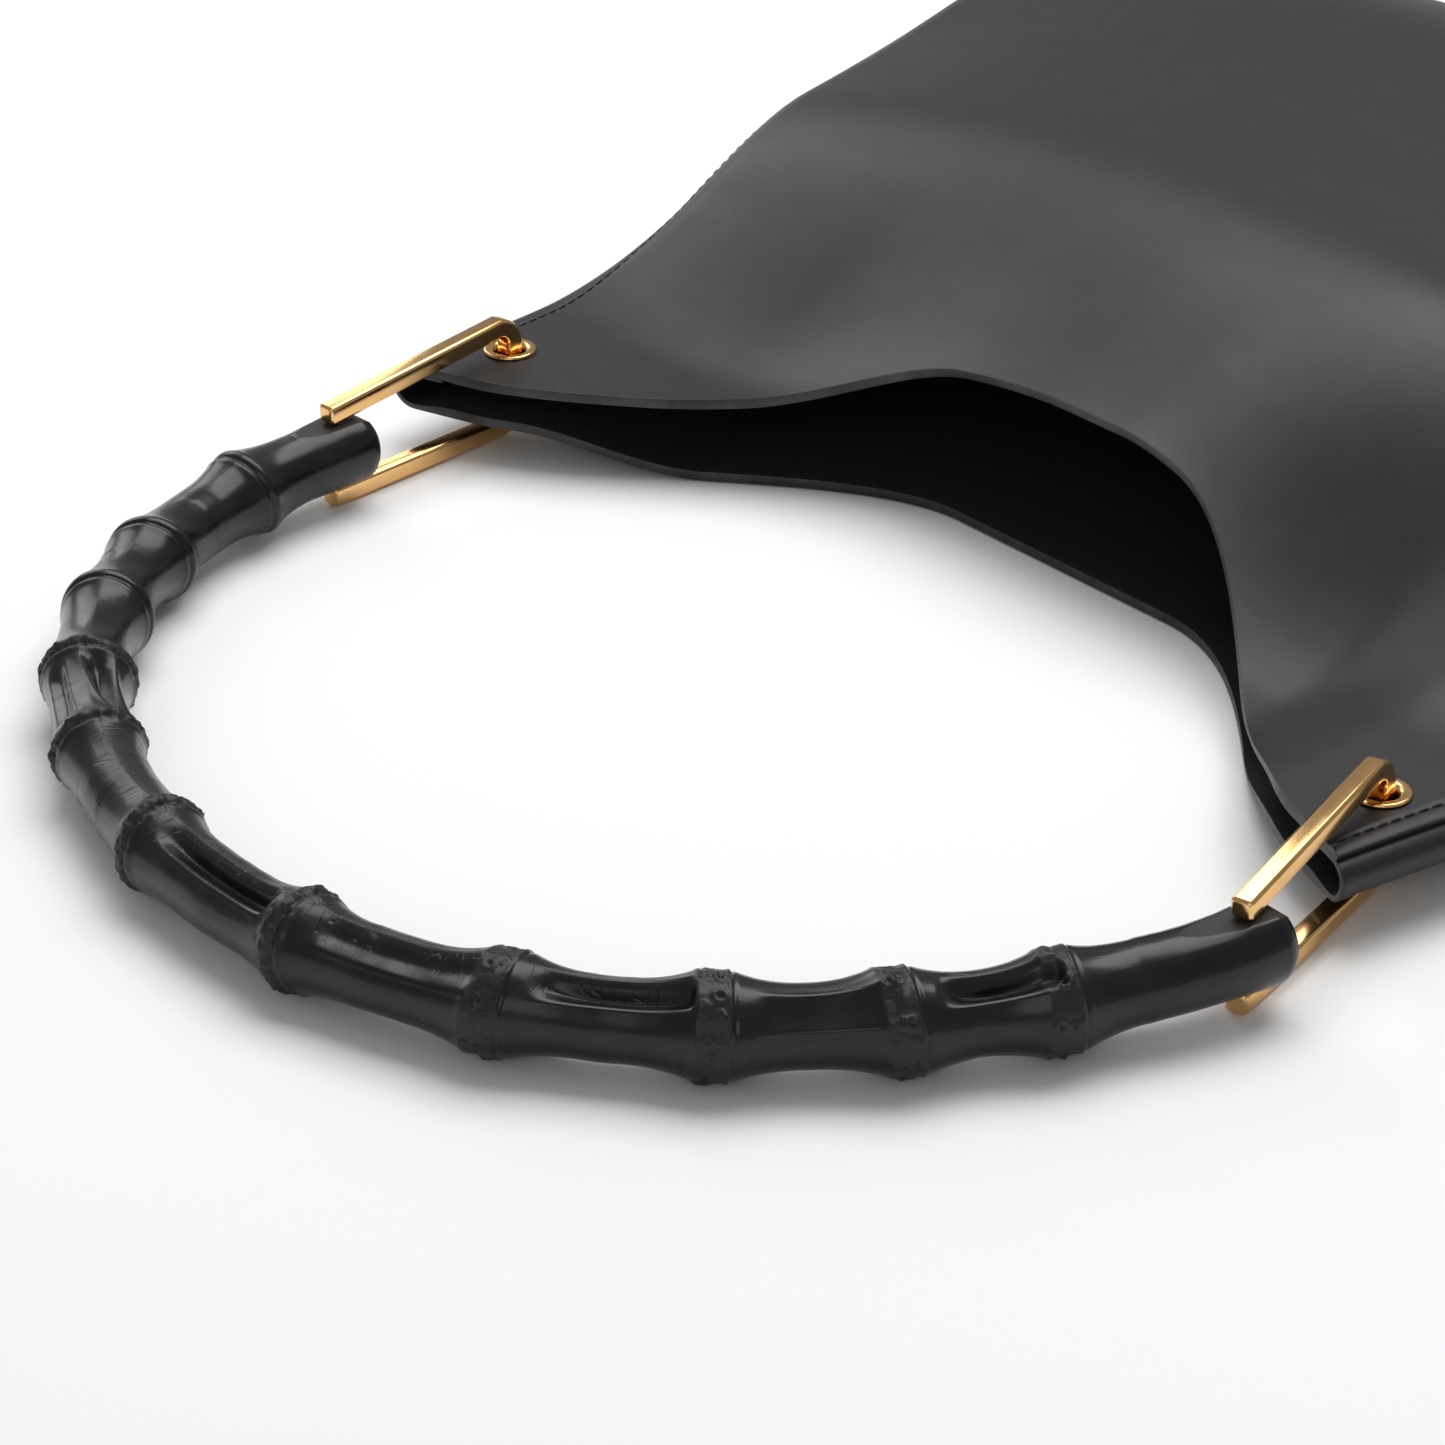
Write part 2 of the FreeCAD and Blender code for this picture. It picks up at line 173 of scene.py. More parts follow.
def mouth_edge(x):
    ax = abs(x)
    if ax < CORNER_START_X:
        return MOUTH_DIP_Y - MOUTH_DROP * smooth((ax - MOUTH_FLAT_HALF_W) / MOUTH_RUN)
    slope = (TIP_Y - CORNER_START_Y) / (TIP_HALF_W - CORNER_START_X)
    return CORNER_START_Y + slope * (ax - CORNER_START_X)


def close_at_ends(count):
    """Shares from 0 to 1 that lie closer together near both ends."""
    steps = [i / count for i in range(count + 1)]
    return [k - 0.12 * math.sin(2 * math.pi * k) for k in steps]


def leather_sheet(name, rows, thick, outward):
    """A closed sheet: outside faces first, then the raw inside, then the painted edges all round."""
    outer = np.array(rows)
    tall, wide = outer.shape[:2]
    out = np.cross(np.gradient(outer, axis=0), np.gradient(outer, axis=1)) * outward
    out /= np.linalg.norm(out, axis=2)[..., None]
    inner = outer - out * np.array(thick)[..., None]
    points = np.concatenate([outer.reshape(-1, 3), inner.reshape(-1, 3)])
    behind = tall * wide
    faces = []
    finish = []

    def quad(a, b, c, d, index):
        faces.append((a, b, c, d) if outward > 0 else (d, c, b, a))
        finish.append(index)
    for i in range(tall - 1):
        for j in range(wide - 1):
            a = i * wide + j
            quad(a, a + wide, a + wide + 1, a + 1, 0)
            quad(behind + a, behind + a + 1, behind + a + wide + 1, behind + a + wide, 1)
    rim = [j for j in range(wide)]
    rim += [i * wide + wide - 1 for i in range(1, tall)]
    rim += [(tall - 1) * wide + j for j in range(wide - 2, -1, -1)]
    rim += [i * wide for i in range(tall - 2, 0, -1)]
    for a, b in zip(rim, rim[1:] + rim[:1]):
        quad(a, b, behind + b, behind + a, 2)
    mesh = bpy.data.meshes.new(name)
    mesh.from_pydata(points.tolist(), [], faces)
    mesh.polygons.foreach_set("material_index", finish)
    mesh.update()
    piece = bpy.data.objects.new(name, mesh)
    bpy.context.scene.collection.objects.link(piece)
    return piece


def settle(piece):
    """Makes the piece's modifiers part of its mesh."""
    bpy.context.view_layer.update()
    shaped = piece.evaluated_get(bpy.context.evaluated_depsgraph_get())
    mesh = bpy.data.meshes.new_from_object(shaped)
    piece.modifiers.clear()
    piece.data = mesh


def ease_edges(piece, width):
    """Breaks the sharp cut edges, as a hand sander does before the edges are painted."""
    ease = piece.modifiers.new("eased", "BEVEL")
    ease.width = width
    ease.segments = 2
    ease.limit_method = "ANGLE"
    ease.angle_limit = math.radians(50)
    settle(piece)
    piece.data.shade_smooth()


def punch_eyelets(piece, low, high):
    """Cuts the two eyelet holes through the leather and eases every cut edge."""
    cutter_mesh = bpy.data.meshes.new(piece.name + "_punch")
    shape = bmesh.new()
    for side in (-1, 1):
        place = Matrix.Translation(at(side * EYELET_X, 0, (low + high) / 2))
        bmesh.ops.create_cone(shape, cap_ends=True, segments=48, radius1=EYELET_CUT_R, radius2=EYELET_CUT_R,
                              depth=high - low, matrix=place)
    shape.to_mesh(cutter_mesh)
    shape.free()
    cutter = bpy.data.objects.new(piece.name + "_punch", cutter_mesh)
    bpy.context.scene.collection.objects.link(cutter)
    cut = piece.modifiers.new("holes", "BOOLEAN")
    cut.object = cutter
    cut.solver = "EXACT"
    settle(piece)
    bpy.data.objects.remove(cutter)
    ease_edges(piece, PANEL_EASE)


def crease(p, size, seed):
    """Slow unevenness of hand-shaped leather, from -1 to 1."""
    return noise.noise(Vector((p[0] / size + seed, p[1] / size, p[2] / size)))


def add(mat, kind, settings=None, **sockets):
    """One shader node; each socket takes a value or another node's output."""
    made = mat.node_tree.nodes.new("ShaderNode" + kind)
    for key, value in (settings or {}).items():
        setattr(made, key, value)
    for key, value in sockets.items():
        key = int(key[1:]) if key[0] == "n" and key[1:].isdigit() else key.replace("_", " ")
        if isinstance(value, bpy.types.NodeSocket):
            mat.node_tree.links.new(value, made.inputs[key])
        else:
            made.inputs[key].default_value = value
    return made


def finish_named(name, **sockets):
    mat = bpy.data.materials.new(name)
    mat.use_nodes = True
    shader = mat.node_tree.nodes["Principled BSDF"]
    for key, value in sockets.items():
        shader.inputs[key.replace("_", " ")].default_value = value
    return mat, shader


def feed(mat, shader, **outputs):
    for key, value in outputs.items():
        mat.node_tree.links.new(value, shader.inputs[key.replace("_", " ")])


def ramp(mat, source, low, high, a, b):
    """Spreads low..high of a texture over a..b."""
    return add(mat, "MapRange", n0=source, n1=low, n2=high, n3=a, n4=b).outputs[0]


def blend_colours(mat, amount, dark, light):
    made = add(mat, "Mix", {"data_type": "RGBA"}, n0=amount)
    made.inputs[6].default_value = (*dark, 1)
    made.inputs[7].default_value = (*light, 1)
    return made.outputs[2]


def smooth_calf(name):
    """Satin black calf: fine tight grain, a little mottle, faint rubbed streaks."""
    mat, shader = finish_named(name, Specular_IOR_Level=0.36, Coat_Weight=0.07, Coat_Roughness=0.32)
    place = add(mat, "TexCoord").outputs["Object"]
    cloud = add(mat, "TexNoise", Vector=place, Scale=14.0, Detail=4.0, Roughness=0.6).outputs[0]
    mottle = add(mat, "TexNoise", Vector=place, Scale=120.0, Detail=3.0, Roughness=0.6).outputs[0]
    stretched = add(mat, "Mapping", Vector=place, Scale=(9.0, 60.0, 40.0)).outputs[0]
    rubbed = add(mat, "TexNoise", Vector=stretched, Scale=1.0, Detail=6.0, Roughness=0.7).outputs[0]
    pores = add(mat, "TexVoronoi", {"feature": "DISTANCE_TO_EDGE"}, Vector=place, Scale=2300.0).outputs[0]
    tooth = add(mat, "TexNoise", Vector=place, Scale=1500.0, Detail=3.0, Roughness=0.7).outputs[0]
    tint = blend_colours(mat, ramp(mat, mottle, 0.3, 0.7, 0.0, 1.0), (0.0082, 0.0080, 0.0092),
                         (0.0135, 0.0132, 0.0150))
    worn = ramp(mat, rubbed, 0.35, 0.75, 0.0, 0.09)
    rough = ramp(mat, cloud, 0.3, 0.7, 0.36, 0.46)
    rough = add(mat, "Math", {"operation": "ADD"}, n0=rough, n1=worn).outputs[0]
    grain = add(mat, "Bump", Strength=0.10, Distance=0.00012, Height=pores)
    grain = add(mat, "Bump", Strength=0.12, Distance=0.00010, Height=tooth, Normal=grain.outputs[0])
    waves = add(mat, "Bump", Strength=0.25, Distance=0.0009, Height=cloud, Normal=grain.outputs[0])
    feed(mat, shader, Base_Color=tint, Roughness=rough, Normal=waves.outputs[0])
    return mat


def raw_inside():
    """Unlined flesh side of the leather: dyed black, napped and fully matt."""
    mat, shader = finish_named("raw_inside", Specular_IOR_Level=0.12, Sheen_Weight=0.06, Sheen_Roughness=0.6)
    place = add(mat, "TexCoord").outputs["Object"]
    nap = add(mat, "TexNoise", Vector=place, Scale=1400.0, Detail=5.0, Roughness=0.75).outputs[0]
    patch = add(mat, "TexNoise", Vector=place, Scale=45.0, Detail=3.0, Roughness=0.6).outputs[0]
    tint = blend_colours(mat, ramp(mat, patch, 0.3, 0.7, 0.0, 1.0), (0.0030, 0.0030, 0.0033),
                         (0.0060, 0.0060, 0.0064))
    rough = ramp(mat, nap, 0.3, 0.7, 0.9, 1.0)
    fibres = add(mat, "Bump", Strength=0.7, Distance=0.0003, Height=nap)
    feed(mat, shader, Base_Color=tint, Roughness=rough, Normal=fibres.outputs[0])
    return mat


def painted_edge():
    """Cut edge, sanded and painted black, with a few faint rubbed spots."""
    mat, shader = finish_named("painted_edge", Specular_IOR_Level=0.5)
    place = add(mat, "TexCoord").outputs["Object"]
    fine = add(mat, "TexNoise", Vector=place, Scale=600.0, Detail=4.0, Roughness=0.7).outputs[0]
    broad = add(mat, "TexNoise", Vector=place, Scale=90.0, Detail=3.0, Roughness=0.6).outputs[0]
    tint = blend_colours(mat, ramp(mat, broad, 0.45, 0.72, 0.0, 1.0), (0.014, 0.014, 0.015),
                         (0.045, 0.044, 0.043))
    rough = ramp(mat, fine, 0.3, 0.7, 0.38, 0.62)
    uneven = add(mat, "Bump", Strength=0.4, Distance=0.0002, Height=fine)
    feed(mat, shader, Base_Color=tint, Roughness=rough, Normal=uneven.outputs[0])
    return mat


STITCH_INSET = 0.0040
STITCH_SUNK = 0.0004
STITCH_GROOVE = 0.0007
lap_steps = [0.0, 0.0005, 0.0011, 0.0018]
lap_steps += [0.0018 + 0.0005 * (i + 1) for i in range(10)]
lap_steps += [0.0068 + 0.0011 * (i + 1) for i in range(8)]
lap_steps = [d / TIP_HALF_W for d in lap_steps]
middle = 1 - lap_steps[-1]
across = [-1 + d for d in lap_steps]
across += [middle * (2 * i / 130 - 1) for i in range(1, 130)]
across += [1 - d for d in reversed(lap_steps)]


def mouth_start(share, inset):
    """Where a line of the leather that keeps its share of the width meets the mouth's edge."""
    y = 0.0
    for _ in range(12):
        y = mouth_edge(share * (half_width(y) - inset))
    return y


front_rows = []
front_thick = []
starts = [mouth_start(s, LAP_INSET) for s in across]
for k in close_at_ends(120):
    row = []
    thick = []
    for share, start in zip(across, starts):
        y = start + (BAG_DEPTH - start) * k
        fold = side_fold(y)
        x = share * (fold[0] - LAP_INSET)
        z = front_height(x, y, fold)
        from_lap = fold[0] - LAP_INSET - abs(x)
        z -= STITCH_SUNK * math.exp(-((from_lap - STITCH_INSET) / STITCH_GROOVE) ** 2)
        z += 0.0004 * crease((x, y, 0), 0.055, 3.0) * smooth((y - start) / 0.03) * smooth(from_lap / 0.03)
        row.append(at(x, y, z))
        thick.append(LAP_T + (LEATHER_T - LAP_T) * smooth((from_lap - 0.002) / LAP_THIN_FROM))
    front_rows.append(row)
    front_thick.append(thick)
front = leather_sheet("front_leather", front_rows, front_thick, -1)
punch_eyelets(front, 0.0135, 0.040)
CALF = smooth_calf("smooth_calf")
INSIDE = raw_inside()
EDGE = painted_edge()
for mat in (CALF, INSIDE, EDGE):
    front.data.materials.append(mat)
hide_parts("front_panel", "left_corner_front", "right_corner_front")
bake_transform(front)


# ---- back leather ----
# The back is a second piece of the same calf. It rolls up round both sides, is skived thinner there,
# and runs in under the front's edge as a flap that takes the stitches. It lies flat on the table.
ROLL_T = 0.0013
ROLL_STEPS = 16
FLAP = 0.0075
FLAP_STEPS = 6
LAP_DROP = LAP_T + 0.00005


def back_profile():
    """Stations round the back from flap to flap: kind, side of the bag and share of that stretch."""
    left = [("flap", -1, i / FLAP_STEPS) for i in range(FLAP_STEPS)]
    left += [("roll", -1, i / ROLL_STEPS) for i in range(ROLL_STEPS)]
    flat = [("flat", 0, 2 * i / 130 - 1) for i in range(131)]
    right = [(kind, 1, share) for kind, _, share in reversed(left)]
    return left + flat + right


def back_point(kind, side, share, y):
    fold = side_fold(y)
    w, r, mid = fold
    if kind == "flat":
        x = share * (w - r)
        return x, under(x, y)
    if kind == "flap":
        x = w - r - FLAP * (1 - share)
        return side * x, front_height(x, y, fold) - LAP_DROP
    angle = math.pi * (0.5 - share)
    x = w - r + r * math.cos(angle)
    if angle > 0:
        return side * x, mid + (over(x, y, w) - LAP_DROP - mid) * math.sin(angle)
    return side * x, mid + (mid - under(x, y)) * math.sin(angle)


def back_start(kind, side, share):
    y = 0.0
    for _ in range(12):
        y = mouth_edge(back_point(kind, side, share, y)[0])
    return y


back_rows = []
back_thick = []
stations = back_profile()
starts = [back_start(*station) for station in stations]
for k in close_at_ends(120):
    row = []
    thick = []
    for station, start in zip(stations, starts):
        y = start + (BAG_DEPTH - start) * k
        x, z = back_point(*station, y)
        row.append(at(x, y, z))
        into_flat = (1 - abs(station[2])) if station[0] == "flat" else 0.0
        thick.append(ROLL_T + (LEATHER_T - ROLL_T) * smooth(into_flat / 0.06))
    back_rows.append(row)
    back_thick.append(thick)
back = leather_sheet("back_leather", back_rows, back_thick, 1)
punch_eyelets(back, 0.002, 0.0145)
for mat in (CALF, INSIDE, EDGE):
    back.data.materials.append(mat)
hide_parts("back_panel", "left_corner_back", "right_corner_back")
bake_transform(back)


# ---- stitches ----
# Waxed black thread, sewn by machine. One line runs down each side near the front's lapped edge, and
# one along the bottom holds both leathers; each stitch sinks into the leather at its two ends.
THREAD_R = 0.00032
STITCH_PITCH = 0.0034
STITCH_SHARE = 0.80
STITCH_ARC = 0.00016
BOTTOM_STITCH_INSET = 0.0045


def waxed_thread():
    mat, shader = finish_named("waxed_thread", Specular_IOR_Level=0.45)
    place = add(mat, "TexCoord").outputs["Object"]
    strands = add(mat, "TexNoise", Vector=place, Scale=2600.0, Detail=2.0, Roughness=0.6).outputs[0]
    tint = blend_colours(mat, ramp(mat, strands, 0.35, 0.65, 0.0, 1.0), (0.010, 0.010, 0.010),
                         (0.034, 0.033, 0.031))
    rough = ramp(mat, strands, 0.3, 0.7, 0.45, 0.65)
    twist = add(mat, "Bump", Strength=0.6, Distance=0.0001, Height=strands)
    feed(mat, shader, Base_Color=tint, Roughness=rough, Normal=twist.outputs[0])
    return mat


def sewn_line(name, line):
    """Stitches along a line of (place, outward direction) pairs that lie close together."""
    points = []
    faces = []
    travelled = [0.0]
    for (a, _), (b, _) in zip(line, line[1:]):
        travelled.append(travelled[-1] + (b - a).length)

    def spot(distance):
        i = int(np.clip(np.searchsorted(travelled, distance) - 1, 0, len(line) - 2))
        t = (distance - travelled[i]) / (travelled[i + 1] - travelled[i])
        return line[i][0].lerp(line[i + 1][0], t), line[i][1].lerp(line[i + 1][1], t).normalized()
    count = int(travelled[-1] / STITCH_PITCH)
    sections = 7
    around = 8
    for n in range(count):
        first = (n + 0.5 - STITCH_SHARE / 2) * STITCH_PITCH
        base = len(points)
        for i in range(sections):
            t = i / (sections - 1)
            place, out = spot(first + t * STITCH_SHARE * STITCH_PITCH)
            ahead, _ = spot(first + t * STITCH_SHARE * STITCH_PITCH + 0.0002)
            along = (ahead - place).normalized()
            beside = along.cross(out).normalized()
            bulge = math.sqrt(max(0.0, 1 - (2 * t - 1) ** 4))
            middle_of = place + out * (STITCH_ARC * (4 * t * (1 - t)) - THREAD_R * 0.45 * (1 - bulge))
            radius = THREAD_R * (0.35 + 0.65 * bulge)
            for j in range(around):
                a = 2 * math.pi * j / around
                points.append(middle_of + (beside * math.cos(a) + out * math.sin(a)) * radius)
        for i in range(sections - 1):
            for j in range(around):
                a = base + i * around + j
                b = base + i * around + (j + 1) % around
                faces.append((a, b, b + around, a + around))
        faces.append([base + j for j in range(around)][::-1])
        faces.append([base + (sections - 1) * around + j for j in range(around)])
    mesh = bpy.data.meshes.new(name)
    mesh.from_pydata([tuple(p) for p in points], [], faces)
    mesh.shade_smooth()
    piece = bpy.data.objects.new(name, mesh)
    bpy.context.scene.collection.objects.link(piece)
    piece.data.materials.append(THREAD)
    return piece


def front_spot(x, y):
    """A place on the front leather and the direction out of it."""
    step = 0.0003
    fold = side_fold(y)
    z = front_height(x, y, fold)
    dx = (front_height(x + step, y, fold) - front_height(x - step, y, fold)) / (2 * step)
    dy = (front_height(x, y + step, side_fold(y + step)) - z) / step
    return at(x, y, z), Vector((-dx, -dy, 1)).normalized()


THREAD = waxed_thread()
for side, word in ((-1, "left"), (1, "right")):
    line = []
    for i in range(401):
        y = TIP_Y + 0.004 + (BAG_DEPTH - 0.012 - TIP_Y) * i / 400
        place, out = front_spot(side * (half_width(y) - LAP_INSET - STITCH_INSET), y)
        line.append((place - out * (STITCH_SUNK - 0.0001), out))
    seam = sewn_line(word + "_side_stitches", line)
    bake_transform(seam)
line = []
for i in range(401):
    y = BAG_DEPTH - BOTTOM_STITCH_INSET
    x = (half_width(y) - LAP_INSET - STITCH_INSET) * (2 * i / 400 - 1)
    line.append(front_spot(x, y))
seam = sewn_line("bottom_stitches", line)
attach(seam, "bag")


# ---- eyelets and washers ----
# Four turned brass eyelets, gold plated. Each has a flat flange on the leather, a dished throat and a
# barrel through the hole, and is closed on the inside by a rolled washer.
HOLE_R = 0.0035
BARREL_R = 0.0040


def gold_plate():
    mat, shader = finish_named("gold_plate", Metallic=1.0)
    place = add(mat, "TexCoord").outputs["Object"]
    haze = add(mat, "TexNoise", Vector=place, Scale=70.0, Detail=3.0, Roughness=0.6).outputs[0]
    scratch_place = add(mat, "Mapping", Vector=place, Rotation=(0.0, 0.0, 0.35),
                        Scale=(900.0, 5000.0, 900.0)).outputs[0]
    scratch = add(mat, "TexNoise", Vector=scratch_place, Scale=1.0, Detail=3.0, Roughness=0.6).outputs[0]
    tint = blend_colours(mat, ramp(mat, haze, 0.3, 0.7, 0.0, 1.0), (0.80, 0.47, 0.19), (0.86, 0.54, 0.24))
    rough = ramp(mat, haze, 0.3, 0.7, 0.13, 0.21)
    fine = add(mat, "Bump", Strength=0.05, Distance=0.00005, Height=scratch)
    feed(mat, shader, Base_Color=tint, Roughness=rough, Normal=fine.outputs[0])
    return mat


def turned(name, profile, centre, facing, material):
    """A round piece from the outline of half its section, (radius, height) points, closed on itself."""
    segments = 72
    points = []
    faces = []
    for radius, height in profile:
        for j in range(segments):
            a = 2 * math.pi * j / segments
            points.append(centre + Vector((radius * math.cos(a), radius * math.sin(a), facing * height)))
    count = len(profile)
    for i in range(count):
        for j in range(segments):
            a = i * segments + j
            b = i * segments + (j + 1) % segments
            c = ((i + 1) % count) * segments + (j + 1) % segments
            d = ((i + 1) % count) * segments + j
            faces.append((a, b, c, d) if facing > 0 else (d, c, b, a))
    mesh = bpy.data.meshes.new(name)
    mesh.from_pydata([tuple(p) for p in points], [], faces)
    shape = bmesh.new()
    shape.from_mesh(mesh)
    bmesh.ops.remove_doubles(shape, verts=shape.verts, dist=0.000001)
    bmesh.ops.recalc_face_normals(shape, faces=shape.faces)
    shape.to_mesh(mesh)
    shape.free()
    mesh.shade_smooth()
    piece = bpy.data.objects.new(name, mesh)
    bpy.context.scene.collection.objects.link(piece)
    piece.data.materials.append(material)
    return piece


GOLD = gold_plate()
for side in ("left", "right"):
    for face, facing in (("front", 1), ("back", -1)):
        node = side + "_eyelet_" + face
        low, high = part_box(node)
        reach = high.z - low.z
        flange_r = (high.x - low.x) / 2
        seat = low.z if facing > 0 else high.z
        centre = Vector(((low.x + high.x) / 2, (low.y + high.y) / 2, seat))
        under_flange = reach - 0.0009
        outline = [(BARREL_R, 0.0), (BARREL_R, under_flange), (flange_r - 0.0002, under_flange)]
        outline += [(flange_r, under_flange + 0.0002), (flange_r, under_flange + 0.0005)]
        outline += [(flange_r - 0.0002, reach - 0.0001), (flange_r - 0.0005, reach)]
        outline += [(flange_r - 0.0013, reach - 0.0001), (HOLE_R + 0.0009, reach - 0.00015)]
        outline += [(HOLE_R + 0.0006, reach - 0.00035), (HOLE_R + 0.0002, reach - 0.0008)]
        outline += [(HOLE_R, reach - 0.0015), (HOLE_R, 0.0)]
        eyelet = turned(node.replace("_eyelet_", "_turned_eyelet_"), outline, centre, facing, GOLD)
        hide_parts(node)
        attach(eyelet, "corners")
        frame["nodes"][side + "_washer_" + face].data.materials.clear()
        frame["nodes"][side + "_washer_" + face].data.materials.append(GOLD)


# ---- links ----
# Each link is a square brass bar bent to a long U, gold plated and polished, with crisp faces. It goes
# through both eyelets of its corner, and its arms take the cane between them on a hidden pin.
BAR = 0.0046
BAR_EDGE = 0.00085
BEND_R = 0.0026 + BAR / 2
LINK_L = 0.0535
LINK_TIP = 0.0040
LINK_OPEN_H = 0.0252
LINK_TIP_H = 0.0204
END_ROUND = 0.00055
END_SIZE = 0.76


def link_path():
    """Middle line of the bar from one free end to the other: (reach, height) places and their headings."""
    slope = (LINK_OPEN_H - LINK_TIP_H) / LINK_L
    low = BAR / 2
    high = BAR / 2 + LINK_OPEN_H
    tip = LINK_L + LINK_TIP
    dip = math.atan(slope)
    path = [(tip, low, math.pi)]
    for i in range(17):
        a = math.pi / 2 * i / 16
        path.append((BEND_R - BEND_R * math.sin(a), low + BEND_R - BEND_R * math.cos(a), math.pi - a))
    turn = math.pi / 2 - dip
    top = high - slope * BEND_R
    for i in range(17):
        a = turn * i / 16
        path.append((BEND_R - BEND_R * math.cos(a), top - BEND_R + BEND_R * math.sin(a), math.pi / 2 - a))
    path.append((tip, high - slope * tip, -dip))
    return path


def bar_section():
    """Square with narrow flats broken at its four corners, each flat edged by a tiny round."""
    half = BAR / 2
    cut = BAR_EDGE
    quarter = [(half, -half + cut), (half, half - cut), (half - cut * 0.12, half - cut * 0.62),
               (half - cut * 0.62, half - cut * 0.12)]
    section = []
    for i in range(4):
        a = math.pi / 2 * i
        section += [(x * math.cos(a) - y * math.sin(a), x * math.sin(a) + y * math.cos(a))
                    for x, y in quarter]
    return section


def bent_link(side):
    joint = hinges[side + "_link_sway"]
    pin_low, pin_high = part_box(side + "_pin")
    to_pin = Vector(((pin_low.x + pin_high.x) / 2 - joint.x, (pin_low.y + pin_high.y) / 2 - joint.y,
                     0)).normalized()
    beside = Vector((-to_pin.y, to_pin.x, 0))
    origin = Vector((joint.x, joint.y, TABLE_Z))
    section = bar_section()
    points = []
    faces = []
    path = link_path()
    stations = [(path[0], -back, size) for back, size in ((0.0, END_SIZE), (END_ROUND, 1.0))]
    stations += [(p, 0.0, 1.0) for p in path[1:-1]]
    stations += [(path[-1], back, size) for back, size in ((END_ROUND, 1.0), (0.0, END_SIZE))]
    for (reach, height, heading), back, size in stations:
        forward = (math.cos(heading), math.sin(heading))
        centre_u = reach - forward[0] * back
        centre_z = height - forward[1] * back
        across_u, across_z = -forward[1], forward[0]
        for a, b in section:
            u = centre_u + across_u * a * size
            z = centre_z + across_z * a * size
            points.append(origin + to_pin * u + beside * b * size + Vector((0, 0, z)))
    count = len(section)
    for i in range(len(stations) - 1):
        for j in range(count):
            a = i * count + j
            b = i * count + (j + 1) % count
            faces.append((a, b, b + count, a + count))
    faces.append(list(range(count))[::-1])
    faces.append([(len(stations) - 1) * count + j for j in range(count)])
    mesh = bpy.data.meshes.new(side + "_bent_link")
    mesh.from_pydata([tuple(p) for p in points], [], faces)
    shape = bmesh.new()
    shape.from_mesh(mesh)
    bmesh.ops.recalc_face_normals(shape, faces=shape.faces)
    shape.to_mesh(mesh)
    shape.free()
    piece = bpy.data.objects.new(side + "_bent_link", mesh)
    bpy.context.scene.collection.objects.link(piece)
    ease = piece.modifiers.new("eased", "BEVEL")
    ease.width = 0.00016
    ease.segments = 2
    ease.limit_method = "ANGLE"
    ease.angle_limit = math.radians(20)
    ease.harden_normals = True
    settle(piece)
    piece.data.shade_smooth()
    piece.data.materials.append(GOLD)
    return piece


for side in ("left", "right"):
    link = bent_link(side)
    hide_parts(side + "_link")
    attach(link, side + "_link")
    pin = frame["nodes"][side + "_pin"]
    pin.data.materials.clear()
    pin.data.materials.append(GOLD)


# ---- bamboo handle ----
# One length of root cane, bent over heat to an arch and lacquered black. It has a swollen ring at each
# joint, pits and root scars round the rings, hollows along some lengths, and a carved seat for each link.
NODE_DEG = [15.5, 29.9, 40.7, 52.3, 64.5, 81.1, 100.0, 118.3, 134.4, 148.3, 160.6]
NODE_R = [0.0101, 0.0099, 0.0100, 0.0101, 0.0096, 0.0097, 0.0101, 0.0102, 0.0102, 0.0101, 0.0100]
NODE_KIND = ["plain", "plain", "plain", "rough", "rough", "rough", "rough", "rooted", "rooted", "rooted",
             "rooted"]
CULM_R = 0.0079
END_R = 0.0086
END_TAPER = 0.022
END_PAST_PIN = 0.0085
END_DOME = 0.0055
FLARE_L = 0.0135
ARCH_CENTRE = 0.011
ARCH_WOBBLE = 0.0029
ARCH_RIPPLE = 0.0016
ARCH_SETTLE_DEG = 12.0
END_RISE_DEG = 18.0
REST_R = 0.0102
SADDLE_R = 0.013
SADDLE_CLEAR = 0.00055
SCOOP_R = {"left": 0.030, "right": 0.078}
AROUND = 144
HOLLOWS = [
    # ring before, start and end share of the length, turn in degrees at each end, half width, depth,
    # slot depth
    (4, 0.06, 0.94, -12, -48, 26, 0.0022, 0.0012),
    (4, 0.10, 0.90, 48, 40, 20, 0.0012, 0.0),
    (6, 0.08, 0.90, 14, 22, 27, 0.0016, 0.0030),
    (7, 0.04, 0.92, 24, 26, 30, 0.0011, 0.0007),
    (8, 0.07, 0.88, 22, 20, 27, 0.0015, 0.0026),
    (9, 0.10, 0.92, 42, 38, 26, 0.0008, 0.0),
    (10, 0.10, 0.93, 24, 20, 26, 0.0016, 0.0028),
]
pin_at = {}
for side in ("left", "right"):
    low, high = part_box(side + "_pin")
    pin_at[side] = Vector(((low.x + high.x) / 2, (low.y + high.y) / 2, 0))
CHORD = pin_at["right"] - pin_at["left"]
ACROSS = CHORD.normalized()
INWARD = Vector((-ACROSS.y, ACROSS.x, 0))
ARCH_MID = (pin_at["right"] + pin_at["left"]) / 2 + INWARD * ARCH_CENTRE
ARCH_R = math.hypot(CHORD.length / 2, ARCH_CENTRE)
PIN_DEG = math.degrees(math.atan2(ARCH_CENTRE, CHORD.length / 2))
PER_DEG = ARCH_R * math.pi / 180
START_DEG = PIN_DEG - END_PAST_PIN / PER_DEG
STOP_DEG = 180 - START_DEG
END_Z = TABLE_Z + BAR / 2 + LINK_TIP_H / 2


